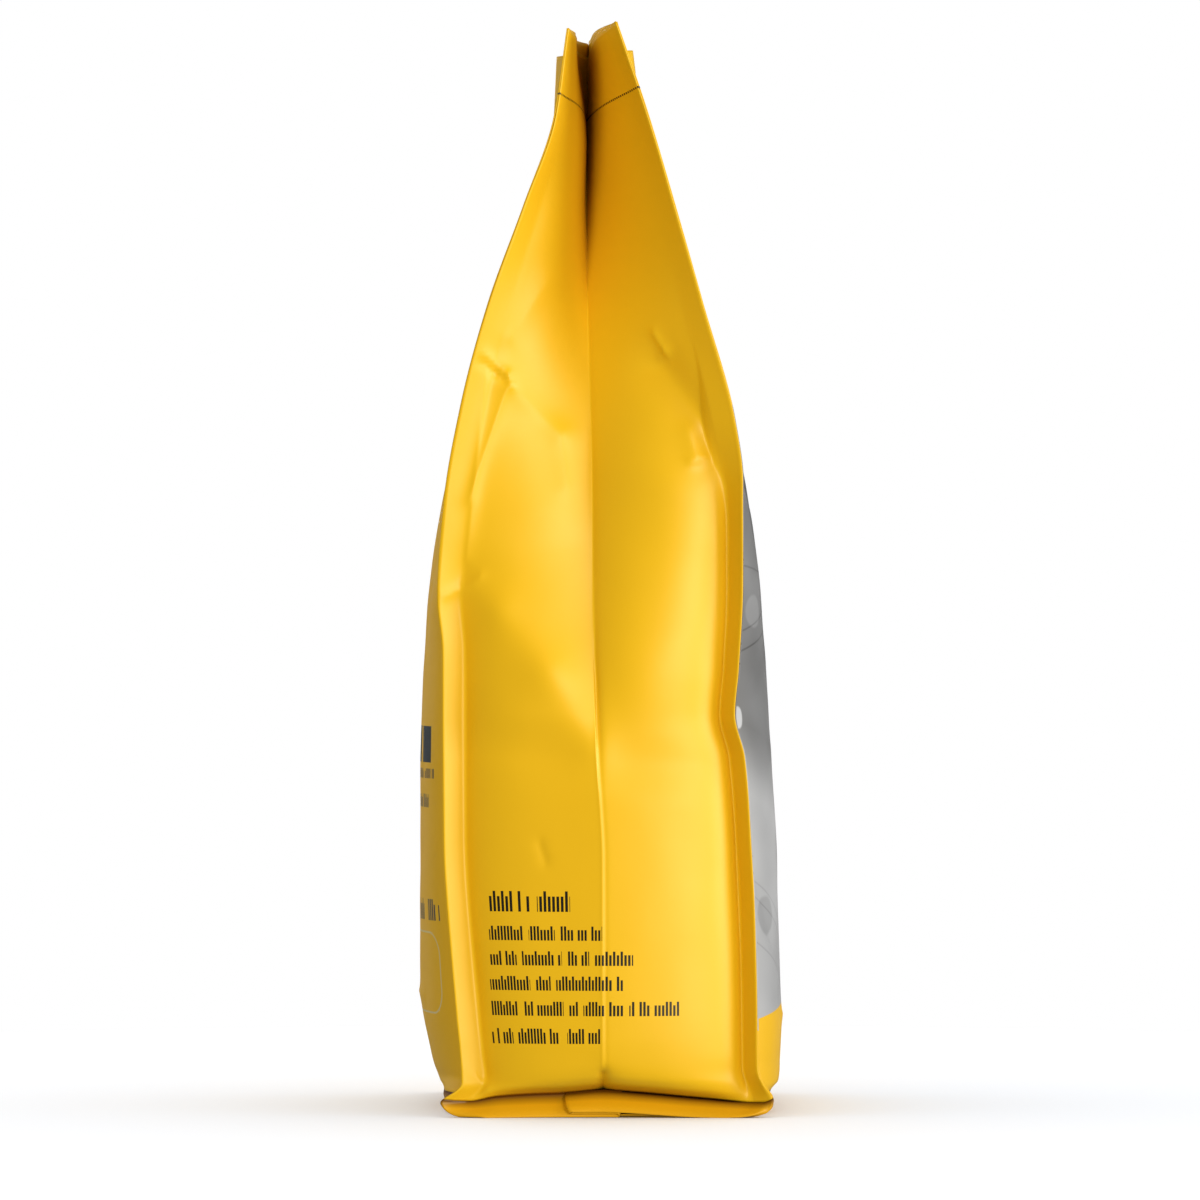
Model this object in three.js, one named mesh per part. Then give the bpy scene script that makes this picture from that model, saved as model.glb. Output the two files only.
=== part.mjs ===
// A filled one-kilogram coffee bag, standing on its flat bottom: two wide panels and two side gussets of
// printed film, welded along four corner fins and round the bottom, and pressed flat into a seal at the top.
//
// Millimetres, +Z up. The front panel faces -Y, the back panel +Y, and a gusset closes each end, at +X and -X.
// The origin is on the floor, under the middle of the bag.
//
// The skin is lofted from level sections. At each height the corner fins, the gusset folds and the bellies of
// the panels are placed by named curves, and each stretch of film between them is one smooth arc. The bag is
// shut and full, so that the solid is filled.
import * as THREE from "three";

// Sizes of the flat bag
const bagHeight = 329;
const panelWidth = 140;
const finWidth = 8;
const finThickness = 1.1;
const sealThickness = 1.2;

// The welded seam round the bottom, and the skirt of film that flares from it to the floor
const seamHeight = 7;
const skirtFlare = 4.5;

// How the film is divided
const pointsPerGussetHalf = 12;
const pointsPerPanelHalf = 7;
const pointsPerFin = 2;
const bodyBands = [
  { from: 28, to: 100, sections: 8 },
  { from: 100, to: 165, sections: 15 },
  { from: 165, to: 250, sections: 14 },
  { from: 250, to: 329, sections: 11 },
];

// The height of the top edge, which dips where the film has further to go
const frontCornerTop = 327;
const backCornerTop = 329;
const gussetFoldTop = 321;
const panelMiddleTop = 324.5;
const topDipStart = 160;

const radians = (degrees) => (degrees * Math.PI) / 180;
const mix = (a, b, t) => a + (b - a) * t;

function smoothstep(low, high, value) {
  const t = Math.min(1, Math.max(0, (value - low) / (high - low)));
  return t * t * (3 - 2 * t);
}

// A smooth curve through [height, value] pairs, which never swings past them (a monotone cubic).
function through(...keys) {
  const slopes = keys.slice(1).map(([h, v], i) => (v - keys[i][1]) / (h - keys[i][0]));
  const tangents = keys.map((_, i) => {
    if (i === 0) return slopes[0];
    if (i === keys.length - 1) return slopes[i - 1];
    const [before, after] = [slopes[i - 1], slopes[i]];
    return before * after <= 0 ? 0 : (2 * before * after) / (before + after);
  });
  return (height) => {
    if (height <= keys[0][0]) return keys[0][1];
    const i = keys.findIndex(([h]) => h > height) - 1;
    if (i < 0) return keys[keys.length - 1][1];
    const span = keys[i + 1][0] - keys[i][0];
    const t = (height - keys[i][0]) / span;
    const u = 1 - t;
    return (
      (1 + 2 * t) * u * u * keys[i][1] +
      t * u * u * span * tangents[i] +
      t * t * (3 - 2 * t) * keys[i + 1][1] -
      t * t * u * span * tangents[i + 1]
    );
  };
}

// Where the outer edges of the corner fins stand, across the depth of the bag. The front pair is at -Y and the
// back pair at +Y. Near is the +X end, and far the -X end.
const finTips = {
  frontNear: through(
    [0, -42.4], [0.5, -43.7], [1.4, -45.2], [2.6, -46.5], [4.2, -47.5], [5.5, -48], [12, -41.8],
    [30, -43.3], [85, -47.3], [140, -47.6], [156, -49], [185, -47], [215, -41.8], [245, -33.9],
    [275, -23.2], [302, -14], [329, -10],
  ),
  backNear: through(
    [0, 46], [0.5, 47.6], [1.2, 49.2], [2.4, 51], [4, 51.9], [6, 52.2], [16, 47.8], [42, 47.4], [85, 45.6],
    [108, 43.8], [121, 40.9], [135, 42.1], [160, 43.2], [190, 43.2], [209, 40.8], [245, 30.9],
    [275, 22.4], [302, 14.4], [329, 5.2],
  ),
  frontFar: through(
    [0, -43.4], [0.5, -44.8], [1.3, -46.3], [2.5, -48], [4.2, -49.4], [6, -50], [13, -44.2], [40, -45],
    [100, -46.8], [132, -44.6], [150, -47.4], [185, -46.5], [215, -41.4], [245, -33.4], [275, -23.4],
    [302, -15.2], [329, -13.7],
  ),
  backFar: through(
    [0, 44.6], [0.5, 46.2], [1.3, 47.8], [2.5, 49.4], [4.2, 50.6], [6, 51], [14, 46.3], [42, 46.2],
    [100, 46.8], [146, 47.2], [168, 45.8], [190, 43.6], [215, 38.4], [245, 30.4], [275, 22.4],
    [302, 14], [329, 10.4],
  ),
};

// The middle of each panel, where its belly stands furthest out. The panels meet in the top seal.
const frontBelly = through(
  [0, -46], [7, -46.4], [9.5, -49.2], [17, -52.2], [36, -55.4], [60, -55.4], [130, -54.2], [152, -52.8],
  [185, -48.2], [215, -42], [245, -33], [275, -21], [300, -8.5], [314, -4.2], [329, -3.8],
);
const backBelly = through(
  [0, 48.5], [7, 49], [9.5, 53.6], [17, 54.8], [29, 55.4], [66, 54.2], [115, 52.1], [137, 50.5],
  [161, 48.4], [185, 45.6], [215, 39.5], [245, 30.4], [275, 18.6], [300, 5], [314, -1.8], [329, -2.2],
);

// The fold down the middle of a gusset: where it stands across the bag, and how deep it is tucked in behind
// the fin tips. Low down the coffee pushes it out past them.
const foldAcross = {
  near: through([0, 0.7], [117, -1.2], [194, -2.6], [245, -3.4], [300, -4.2], [329, -3.6]),
  far: through([0, 0], [120, 1.4], [200, 0.6], [260, -1.5], [329, -2.4]),
};
const foldDepth = {
  near: through(
    [7, 1.5], [11, -1.5], [25, -4.6], [60, -6.4], [95, -6], [117, -3.6], [140, 1], [160, 5], [185, 12],
    [215, 25], [245, 36], [275, 42], [300, 45.5], [329, 47],
  ),
  far: through(
    [7, 1.5], [11, -1.5], [25, -4.6], [60, -6.4], [95, -6.2], [124, -3.2], [150, 2], [185, 13],
    [215, 26], [245, 36.5], [275, 42], [300, 45], [329, 47],
  ),
};

// Angles of the film in a section, in degrees from the line straight across the gusset. Positive runs inwards.
// Each half of a gusset leaves its fin at the root angle and reaches the fold at the fold angle.
const finAngle = {
  front: through(
    [0, 20], [7, 24], [14, 26], [140, 26], [156, 24], [175, 14], [200, 22], [215, 28], [245, 42], [275, 58],
    [300, 72], [329, 80],
  ),
  back: through(
    [0, 30], [7, 40], [14, 48], [180, 48], [197, 40], [212, 30], [245, 45], [275, 56], [300, 66], [329, 72],
  ),
};
const rootAngle = {
  front: through(
    [7, 4], [12, -38], [20, -50], [100, -48], [140, -44], [153, -26], [167, -12], [185, 4], [215, 22],
    [245, 38], [275, 46], [300, 66], [329, 78],
  ),
  back: through(
    [7, 4], [12, -40], [20, -54], [100, -52], [130, -46], [170, -44], [186, -40], [200, -8], [212, 16],
    [245, 43], [275, 54], [300, 62], [329, 70],
  ),
};
const foldAngle = {
  front: through(
    [7, 2], [20, -4], [95, -6], [107, -9], [122, 18], [140, 21], [170, 22], [185, 32], [215, 40], [245, 60],
    [275, 82], [300, 92], [329, 62],
  ),
  back: through(
    [7, 2], [20, -2], [92, -3], [105, -7], [116, 0], [140, 18], [155, 27], [170, 34], [190, 33], [215, 34],
    [245, 50], [275, 62], [300, 78], [329, 86],
  ),
};

// How far the film of a gusset keeps each of those angles, as shares of the way between. Low down, over the
// coffee, it curves most beside the fins. Higher up it is tucked in evenly.
const tuckedInFrom = { low: 110, high: 170 };
const tuckedIn = (height) => smoothstep(tuckedInFrom.low, tuckedInFrom.high, height);
const rootHandle = (height) => mix(0.25, 0.38, tuckedIn(height));
const foldHandle = (height) => mix(0.45, 0.38, tuckedIn(height));

// Dents and ridges pressed into the gussets, from one point to another, both as [across, height]. The rise is
// outwards, and it fades over the width to all sides.
const creases = {
  near: [
    { name: "pinch at the front edge", from: [-34, 227.5], to: [-27, 222.5], rise: -1.4, width: 3.6 },
    { name: "ridge up from the pinch", from: [-33, 230], to: [-21, 249], rise: 0.9, width: 4 },
    { name: "ridge down from the pinch", from: [-35, 225], to: [-40, 162], rise: 0.8, width: 4 },
    { name: "second ridge down", from: [-27, 220], to: [-39, 181], rise: 0.6, width: 4 },
    { name: "long dent at the back edge", from: [18, 233], to: [38, 200], rise: -2, width: 7 },
    { name: "bulge under the dent", from: [27, 207], to: [28, 200], rise: 1.5, width: 6 },
    { name: "kink of the front fin", from: [-44, 159], to: [-37, 160], rise: -1, width: 3.6 },
    { name: "ridge over the belly", from: [-30, 152], to: [-15.5, 134], rise: 1.3, width: 7 },
    { name: "ridge to the end of the fold", from: [-15.5, 134], to: [-2, 112], rise: 1, width: 6 },
    { name: "small dent", from: [-18, 82], to: [-16.5, 78], rise: -0.7, width: 3.4 },
  ],
  far: [
    { name: "pinch at the back edge", from: [32, 221], to: [25, 217], rise: -1.4, width: 3.6 },
    { name: "ridge up from the pinch", from: [31, 224], to: [20, 243], rise: 0.9, width: 4 },
    { name: "ridge down from the pinch", from: [33, 218], to: [38, 172], rise: 0.8, width: 4 },
    { name: "long dent at the front edge", from: [-17, 226], to: [-36, 192], rise: -1.9, width: 7 },
    { name: "bulge under the dent", from: [-25, 198], to: [-26, 191], rise: 1.3, width: 6 },
    { name: "ridge over the belly", from: [36, 160], to: [14, 140], rise: 0.9, width: 5 },
    { name: "ridge to the end of the fold", from: [14, 140], to: [2, 124], rise: 0.4, width: 4.5 },
  ],
};

function creaseRise(end, across, height) {
  let rise = 0;
  for (const crease of creases[end]) {
    const from = new THREE.Vector2(...crease.from);
    const run = new THREE.Vector2(...crease.to).sub(from);
    const offset = new THREE.Vector2(across, height).sub(from);
    const t = THREE.MathUtils.clamp(offset.dot(run) / run.lengthSq(), 0, 1);
    const distance = offset.addScaledVector(run, -t).length();
    rise += crease.rise * Math.exp(-((distance / crease.width) ** 2));
  }
  return rise;
}

// The panels leave their fins at this angle outwards, over this share of the way to the middle.
const bellyAngle = through([0, 20], [14, 44], [120, 46], [175, 34], [215, 16], [245, 4], [300, 0]);
const bellyHandle = { atFin: 0.3, atMiddle: 0.5 };

// The fin tips stand a little closer together where the panels belly out.
const bellyPull = { by: 1.2, upTo: 150, goneAt: 260 };
const finTipAlong = (height) =>
  panelWidth / 2 - bellyPull.by * (1 - smoothstep(bellyPull.upTo, bellyPull.goneAt, height));

// The panels lie pressed on the gusset where this is 1, in the top seal, and stand free of it where it is 0.
const sealStart = 258;
const sealReached = 314;
const pressed = (height) => smoothstep(sealStart, sealReached, height);

// How many points in from a fin's root the creases and the skirt's flare reach their full measure.
const creasesFullAfter = 4;
const flareFullAfter = 2;

// A cubic arc between two points, which leaves and arrives along the given directions.
function arc(from, leaving, to, arriving, handles, count) {
  const chord = from.distanceTo(to);
  const curve = new THREE.CubicBezierCurve(
    from,
    from.clone().addScaledVector(leaving, chord * handles.atStart),
    to.clone().addScaledVector(arriving, -chord * handles.atEnd),
    to,
  );
  return curve.getPoints(count);
}

// One half of a gusset in a level section, from the tip of its fin to the fold. Points are [depth behind the
// fin tips, distance across], and side is -1 on the front half and 1 on the back half.
function gussetHalf(height, end, half, side) {
  const angle = finAngle[half](height);
  const along = (degrees) =>
    new THREE.Vector2(Math.sin(radians(degrees)), -side * Math.cos(radians(degrees)));
  const outerLayer = finThickness * Math.sin(radians(angle));
  const tip = new THREE.Vector2(0, finTips[half + end](height) - side * outerLayer);
  const root = tip.clone().addScaledVector(along(angle), finWidth);
  const endName = end.toLowerCase();
  const level = Math.max(height, seamHeight);
  const fold = new THREE.Vector2(foldDepth[endName](level), foldAcross[endName](height));
  const film = arc(
    root, along(rootAngle[half](level)), fold, along(foldAngle[half](level)),
    { atStart: rootHandle(level), atEnd: foldHandle(level) }, pointsPerGussetHalf,
  );
  const fin = Array.from({ length: pointsPerFin }, (_, i) => tip.clone().lerp(root, i / pointsPerFin));
  return [...fin, ...film];
}

// How far across the bag a gusset half lies at a given depth. Deeper than its fold, the panels lie on each
// other, and there the line runs on to the middle of the bag, where both ends' folds meet halfway.
function acrossAtDepth(points, depth, middleDepth, middleAcross) {
  for (let i = 1; i < points.length; i++) {
    if (points[i].x >= depth) {
      const run = points[i].x - points[i - 1].x;
      return mix(points[i - 1].y, points[i].y, run > 0 ? (depth - points[i - 1].x) / run : 0);
    }
  }
  const fold = points[points.length - 1];
  return mix(fold.y, middleAcross, (depth - fold.x) / (middleDepth - fold.x));
}

// Half of a panel in a level section, from the tip of its fin to the middle of the bag, as [along, across]
// with along counted from the middle. It lies outside the gusset half that it is welded to.
function panelHalf(height, half, side, gusset) {
  const tipAlong = finTipAlong(height);
  const angle = radians(finAngle[half](height));
  const outwards = new THREE.Vector2(-Math.cos(angle), side * Math.sin(angle));
  const outer = (point) =>
    new THREE.Vector2(tipAlong - point.x, point.y).addScaledVector(outwards, finThickness);
  const tip = outer(gusset[0]);
  const root = outer(gusset[pointsPerFin]);
  const belly = half === "front" ? frontBelly(height) : backBelly(height);
  const slope = radians(bellyAngle(height));
  const film = arc(
    root, new THREE.Vector2(-Math.cos(slope), side * Math.sin(slope)),
    new THREE.Vector2(0, belly), new THREE.Vector2(-1, 0),
    { atStart: bellyHandle.atFin, atEnd: bellyHandle.atMiddle }, pointsPerPanelHalf,
  );
  const press = pressed(height);
  const middleAcross = (foldAcross.near(height) + foldAcross.far(height)) / 2;
  for (const point of film) {
    const line = acrossAtDepth(gusset, tipAlong - point.x, tipAlong, middleAcross);
    const flat = line + side * sealThickness;
    point.y = mix(point.y, flat, press);
  }
  const fin = Array.from({ length: pointsPerFin }, (_, i) => tip.clone().lerp(root, i / pointsPerFin));
  return [...fin, ...film];
}

// The height of a point of the skin. The top edge is lower over the folds than at the corners.
function standing(height, cornerTop, middleTop, share) {
  const lost = bagHeight - mix(cornerTop, middleTop, share);
  return height - lost * smoothstep(topDipStart, bagHeight, height);
}

// One level section of the skin as a closed ring of points, anticlockwise from above, which starts at the tip
// of the near front fin and runs along the near gusset, the back panel, the far gusset and the front panel.
function ring(height) {
  const tipAlong = finTipAlong(height);
  const flare = skirtFlare * smoothstep(seamHeight, 0, height);
  const cornerTop = { front: frontCornerTop, back: backCornerTop };

  const gusset = (end, half, side) => {
    const points = gussetHalf(height, end, half, side);
    const endName = end.toLowerCase();
    const direction = end === "Near" ? 1 : -1;
    const deepest = points[points.length - 1].x;
    const placed = points.map((p, i) => {
      const share = THREE.MathUtils.clamp(p.x / Math.max(deepest, 1), 0, 1);
      const onFilm = smoothstep(0, creasesFullAfter, i - pointsPerFin);
      const flared = Math.min(1, i / (pointsPerFin + flareFullAfter));
      const out = flare * flared + onFilm * creaseRise(endName, p.y, height);
      return new THREE.Vector3(
        direction * (tipAlong - p.x + out),
        p.y,
        standing(height, cornerTop[half], gussetFoldTop, share),
      );
    });
    return { points, placed };
  };
  const panel = (end, half, side, points) => {
    const direction = end === "Near" ? 1 : -1;
    return panelHalf(height, half, side, points).map(
      (p) =>
        new THREE.Vector3(
          direction * p.x,
          p.y,
          standing(height, cornerTop[half], panelMiddleTop, 1 - p.x / tipAlong),
        ),
    );
  };

  const nearFront = gusset("Near", "front", -1);
  const nearBack = gusset("Near", "back", 1);
  const farFront = gusset("Far", "front", -1);
  const farBack = gusset("Far", "back", 1);
  return [
    ...nearFront.placed,
    ...nearBack.placed.reverse().slice(1),
    ...panel("Near", "back", 1, nearBack.points),
    ...panel("Far", "back", 1, farBack.points).reverse().slice(1),
    ...farBack.placed,
    ...farFront.placed.reverse().slice(1),
    ...panel("Far", "front", -1, farFront.points),
    ...panel("Near", "front", -1, nearFront.points).reverse().slice(1),
  ];
}

// The heights of the sections: close together round the bottom seam, then band by band up to the top.
function levels() {
  const skirt = [0, 1.3, 3.2, 5.6];
  const seam = [seamHeight, 8.5, 10.5, 13, 17, 22];
  const body = bodyBands.flatMap(({ from, to, sections }) =>
    Array.from({ length: sections }, (_, i) => mix(from, to, i / sections)),
  );
  return [...skirt, ...seam, ...body, bagHeight];
}

// A closed surface through a stack of rings with as many points each, with a cap at both ends.
function loft(rings) {
  const size = rings[0].length;
  const positions = rings.flat().flatMap((p) => [p.x, p.y, p.z]);
  const faces = [];
  for (let level = 0; level + 1 < rings.length; level++) {
    for (let i = 0; i < size; i++) {
      const next = (i + 1) % size;
      const [a, b] = [level * size + i, level * size + next];
      faces.push(a, b, b + size, a, b + size, a + size);
    }
  }
  const cap = (points, first, flip) => {
    const outline = points.map((p) => new THREE.Vector2(p.x, p.y));
    for (const [a, b, c] of THREE.ShapeUtils.triangulateShape(outline, [])) {
      faces.push(first + a, first + (flip ? c : b), first + (flip ? b : c));
    }
  };
  cap(rings[0], 0, true);
  cap(rings[rings.length - 1], (rings.length - 1) * size, false);
  const geometry = new THREE.BufferGeometry();
  geometry.setAttribute("position", new THREE.Float32BufferAttribute(positions, 3));
  geometry.setIndex(faces);
  geometry.computeVertexNormals();
  return geometry;
}

function coffeeBag() {
  const film = new THREE.MeshStandardMaterial({ color: 0xf7bf1f, roughness: 0.42, metalness: 0 });
  const mesh = new THREE.Mesh(loft(levels().map(ring)), film);
  mesh.name = "coffee_bag";
  return mesh;
}

const group = new THREE.Group();
group.name = "coffee bag";
group.add(coffeeBag());

export default group;
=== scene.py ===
# A filled, shut coffee bag of printed film. It stands on its flat bottom, seen square on from a side gusset.
# Lengths are in millimetres up to the point where a mesh is made, and in metres in the frame.
import bmesh
import bpy
import math
from functools import lru_cache
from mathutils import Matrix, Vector, noise


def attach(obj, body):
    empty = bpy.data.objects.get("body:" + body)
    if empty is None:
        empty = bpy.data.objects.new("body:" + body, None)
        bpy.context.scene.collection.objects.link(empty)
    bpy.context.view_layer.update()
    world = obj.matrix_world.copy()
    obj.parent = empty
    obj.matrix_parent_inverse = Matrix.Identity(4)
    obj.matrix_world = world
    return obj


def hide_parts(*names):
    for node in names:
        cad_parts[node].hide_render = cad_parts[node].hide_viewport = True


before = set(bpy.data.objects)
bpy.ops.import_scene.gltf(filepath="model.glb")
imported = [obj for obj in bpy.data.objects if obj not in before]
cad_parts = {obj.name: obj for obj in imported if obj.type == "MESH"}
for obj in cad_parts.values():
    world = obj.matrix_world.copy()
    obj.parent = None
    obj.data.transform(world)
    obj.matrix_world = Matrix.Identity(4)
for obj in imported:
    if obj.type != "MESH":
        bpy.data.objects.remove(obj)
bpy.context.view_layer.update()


# The two side gussets.
# Each is one width of matt printed film, folded down its middle and welded to both panels along its fins. The
# coffee pushes it out low down, and at the top it is tucked in behind the fins in a deep V.
bag_height = 329.0
panel_width = 140.0
fin_width = 8.0
gusset_half_width = 52.0
film_thickness = 0.3
weld_thickness = 0.7
seam_height = 7.0
front_corner_top = 327.0
back_corner_top = 329.0
gusset_fold_top = 321.0
panel_middle_top = 324.5
top_dip_start = 160.0


def mix(a, b, t):
    return a + (b - a) * t


def clamp(value, low=0.0, high=1.0):
    return max(low, min(high, value))


def smoothstep(low, high, value):
    t = clamp((value - low) / (high - low))
    return t * t * (3 - 2 * t)


def through(*keys):
    """A smooth curve through (height, value) pairs, which never swings past them."""
    slopes = [(v1 - v0) / (h1 - h0) for (h0, v0), (h1, v1) in zip(keys, keys[1:])]
    tangents = [slopes[0]]
    for before, after in zip(slopes, slopes[1:]):
        tangents.append(2 * before * after / (before + after) if before * after > 0 else 0.0)
    tangents.append(slopes[-1])

    def value(height):
        if height <= keys[0][0]:
            return keys[0][1]
        if height >= keys[-1][0]:
            return keys[-1][1]
        i = max(k for k in range(len(keys) - 1) if keys[k][0] <= height)
        span = keys[i + 1][0] - keys[i][0]
        t = (height - keys[i][0]) / span
        u = 1 - t
        return (
            (1 + 2 * t) * u * u * keys[i][1]
            + t * u * u * span * tangents[i]
            + t * t * (3 - 2 * t) * keys[i + 1][1]
            - t * t * u * span * tangents[i + 1]
        )

    return value


# The outer edges of the corner fins across the depth of the bag, by height.
fin_tips = {
    ("front", "near"): through(
        (0, -42.4), (0.5, -43.7), (1.4, -45.2), (2.6, -46.5), (4.2, -47.5), (5.5, -48), (12, -41.8),
        (30, -43.3), (85, -47.3), (140, -47.6), (156, -49),
        (185, -47), (215, -41.8), (245, -33.9), (275, -23.2), (302, -14), (329, -10),
    ),
    ("back", "near"): through(
        (0, 46), (0.5, 47.6), (1.2, 49.2), (2.4, 51), (4, 51.9), (6, 52.2), (16, 47.8), (42, 47.4),
        (85, 45.6), (108, 43.8), (121, 40.9), (135, 42.1),
        (160, 43.2), (190, 43.2), (209, 40.8), (245, 30.9), (275, 22.4), (302, 14.4), (329, 5.2),
    ),
    ("front", "far"): through(
        (0, -43.4), (0.5, -44.8), (1.3, -46.3), (2.5, -48), (4.2, -49.4), (6, -50), (13, -44.2), (40, -45),
        (100, -46.8), (132, -44.6), (150, -47.4),
        (185, -46.5), (215, -41.4), (245, -33.4), (275, -23.4), (302, -15.2), (329, -13.7),
    ),
    ("back", "far"): through(
        (0, 44.6), (0.5, 46.2), (1.3, 47.8), (2.5, 49.4), (4.2, 50.6), (6, 51), (14, 46.3), (42, 46.2),
        (100, 46.8), (146, 47.2), (168, 45.8),
        (190, 43.6), (215, 38.4), (245, 30.4), (275, 22.4), (302, 14), (329, 10.4),
    ),
}
fold_across = {
    "near": through(
        (0, 0.7), (77, 0.6), (107, -1.0), (125, -1.7), (140, -2.1),
        (194, -2.5), (245, -3.8), (300, -4.2), (329, -3.6),
    ),
    "far": through((0, 0), (120, 1.4), (200, 0.6), (260, -1.5), (329, -2.4)),
}
fold_depth = {
    "near": through(
        (7, 5.5), (8, 1.8), (9.5, -2.4), (12, -4.8), (16, -6.2), (25, -7.3), (60, -8.5), (95, -8),
        (117, -5), (140, -0.5), (160, 4), (185, 9.5), (200, 13), (215, 17), (230, 22.5), (245, 29),
        (260, 36), (275, 41), (300, 45.5), (329, 47),
    ),
    "far": through(
        (7, 5.5), (8, 1.8), (9.5, -2.4), (12, -4.8), (16, -6.2), (25, -7.3), (60, -8.5), (95, -8.2),
        (124, -4.5), (150, 1), (185, 10), (215, 18), (230, 23.5), (245, 30), (260, 36.5), (275, 41.5),
        (300, 45), (329, 47),
    ),
}

# Angles of the film in a level section, in degrees from the line straight across the gusset, inwards.
fin_angle = {
    "front": through(
        (0, 20), (7, 26), (14, 34), (140, 36), (156, 30), (175, 14), (200, 20), (215, 26), (245, 40),
        (275, 58), (300, 72), (329, 80),
    ),
    "back": through(
        (0, 30), (7, 40), (14, 57), (180, 57), (197, 40), (212, 28), (245, 42),
        (275, 56), (300, 66), (329, 72),
    ),
}
root_angle = {
    "front": through(
        (7, 4), (10, -36), (13, -48), (20, -54), (100, -54), (140, -46), (153, -26), (167, -12), (185, 0),
        (203, 6), (215, 8), (230, 18), (245, 32), (275, 46), (300, 66), (329, 78),
    ),
    "back": through(
        (7, 4), (10, -40), (13, -60), (20, -72), (100, -75), (130, -72), (170, -64), (186, -44), (200, -10),
        (212, 8), (230, 24), (245, 38), (260, 48), (275, 54), (300, 62), (329, 70),
    ),
}
fold_angle = {
    "front": through(
        (7, 2), (20, -7), (95, -9), (107, -9), (122, 11), (140, 14), (170, 19), (185, 30), (203, 32),
        (215, 27), (230, 34), (245, 50), (260, 70), (275, 82), (300, 92), (329, 62),
    ),
    "back": through(
        (7, 2), (20, -2), (92, -3), (105, -7), (116, 4), (140, 34), (155, 38), (170, 42), (190, 42),
        (215, 34), (230, 32), (245, 42), (260, 54), (275, 62), (300, 78), (329, 86),
    ),
}

# How far the film keeps those angles from the fin's root and from the fold, as a share of its width.
root_reach = {
    "front": through((100, 0.22), (140, 0.2), (175, 0.38)),
    "back": through((20, 0.22), (150, 0.22), (205, 0.38)),
}
fold_reach = {
    "front": through((105, 0.45), (125, 0.55), (150, 0.55), (175, 0.38)),
    "back": through((110, 0.45), (170, 0.38)),
}
arc_pieces = 96
gusset_film_pieces = 72

# The fin tips stand a little closer together where the panels belly out.
belly_pull = 1.2
belly_pull_full_below = 150
belly_pull_gone_above = 260


def fin_tip_along(height):
    pulled = 1 - smoothstep(belly_pull_full_below, belly_pull_gone_above, height)
    return panel_width / 2 - belly_pull * pulled


def arc(start, leaving, finish, arriving, start_handle, finish_handle):
    """A cubic arc between two points of a level section."""
    chord = (finish - start).length
    a, b = start + leaving * chord * start_handle, finish - arriving * chord * finish_handle
    points = []
    for k in range(arc_pieces + 1):
        t = k / arc_pieces
        u = 1 - t
        points.append(start * u ** 3 + a * 3 * u * u * t + b * 3 * u * t * t + finish * t ** 3)
    return points


def evenly(points, pieces):
    """The same line as points at equal distances along it."""
    far = [0.0]
    for p, q in zip(points, points[1:]):
        far.append(far[-1] + (q - p).length)
    even, k = [], 0
    for step in range(pieces + 1):
        wanted = far[-1] * step / pieces
        while k < len(points) - 2 and far[k + 1] < wanted:
            k += 1
        gap = far[k + 1] - far[k]
        even.append(points[k].lerp(points[k + 1], (wanted - far[k]) / gap if gap else 0.0))
    return even


def along_line(points, share):
    """The point at a share of the way along a line of evenly spaced points."""
    place = clamp(share) * (len(points) - 1)
    k = min(int(place), len(points) - 2)
    return points[k].lerp(points[k + 1], place - k)


@lru_cache(maxsize=None)
def gusset_half(end, half, height):
    """Half of a gusset in a level section: the tip and root of its fin, and its film from root to fold,
    as (depth behind the fin tips, distance across the bag)."""
    side = -1 if half == "front" else 1
    level = max(height, seam_height)

    def heading(degrees):
        return Vector((math.sin(math.radians(degrees)), -side * math.cos(math.radians(degrees))))

    angle = fin_angle[half](height)
    outer_layer = weld_thickness * math.sin(math.radians(angle))
    tip = Vector((0, fin_tips[half, end](height) - side * outer_layer))
    root = tip + heading(angle) * fin_width
    fold = Vector((fold_depth[end](level), fold_across[end](height)))
    film = arc(
        root, heading(root_angle[half](level)), fold, heading(fold_angle[half](level)),
        root_reach[half](level), fold_reach[half](level),
    )
    return tip, root, evenly(film, gusset_film_pieces)


def gusset_line(end, height, width):
    """The point of a level section at a width of film, counted from the front fin's edge to the back's."""
    half = "front" if width <= gusset_half_width else "back"
    from_edge = width if half == "front" else 2 * gusset_half_width - width
    tip, root, film = gusset_half(end, half, height)
    if from_edge <= fin_width:
        return tip.lerp(root, clamp(from_edge / fin_width))
    return along_line(film, (from_edge - fin_width) / (gusset_half_width - fin_width))


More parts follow.
